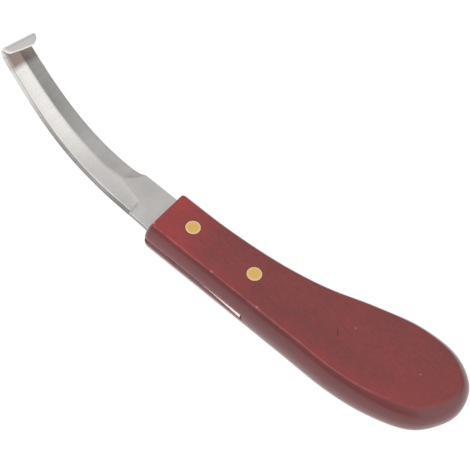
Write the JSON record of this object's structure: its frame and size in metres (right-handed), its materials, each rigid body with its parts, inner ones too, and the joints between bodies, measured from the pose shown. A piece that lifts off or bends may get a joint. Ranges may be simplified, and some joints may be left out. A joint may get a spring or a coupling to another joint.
{
  "type": "hook knife",
  "caption": "Fixed-blade hook knife: a wooden handle with a sawn kerf, a riveted tang, and a curved hollow-ground blade whose tip is curled into a small hook.",
  "frame": {"origin": "on the handle's flat back face, midway between the two rivets", "axes": "+X along the handle towards the blade's tip, +Z out of the opposite flat face, the side that the blade bends towards, +Y towards the straight side of the handle"},
  "size_m": [0.214, 0.0428, 0.0491],
  "materials": {
    "wood": "red-stained hardwood under a satin varnish",
    "steel": "fine-ground carbon steel, satin on the ground facets",
    "brass": "sanded flush with the wood, satin"
  },
  "bodies": {
    "root": {"handle": "wood", "blade": "steel", "front_rivet_male": "brass", "front_rivet_female": "brass", "rear_rivet_male": "brass", "rear_rivet_female": "brass"}
  },
  "joints": []
}
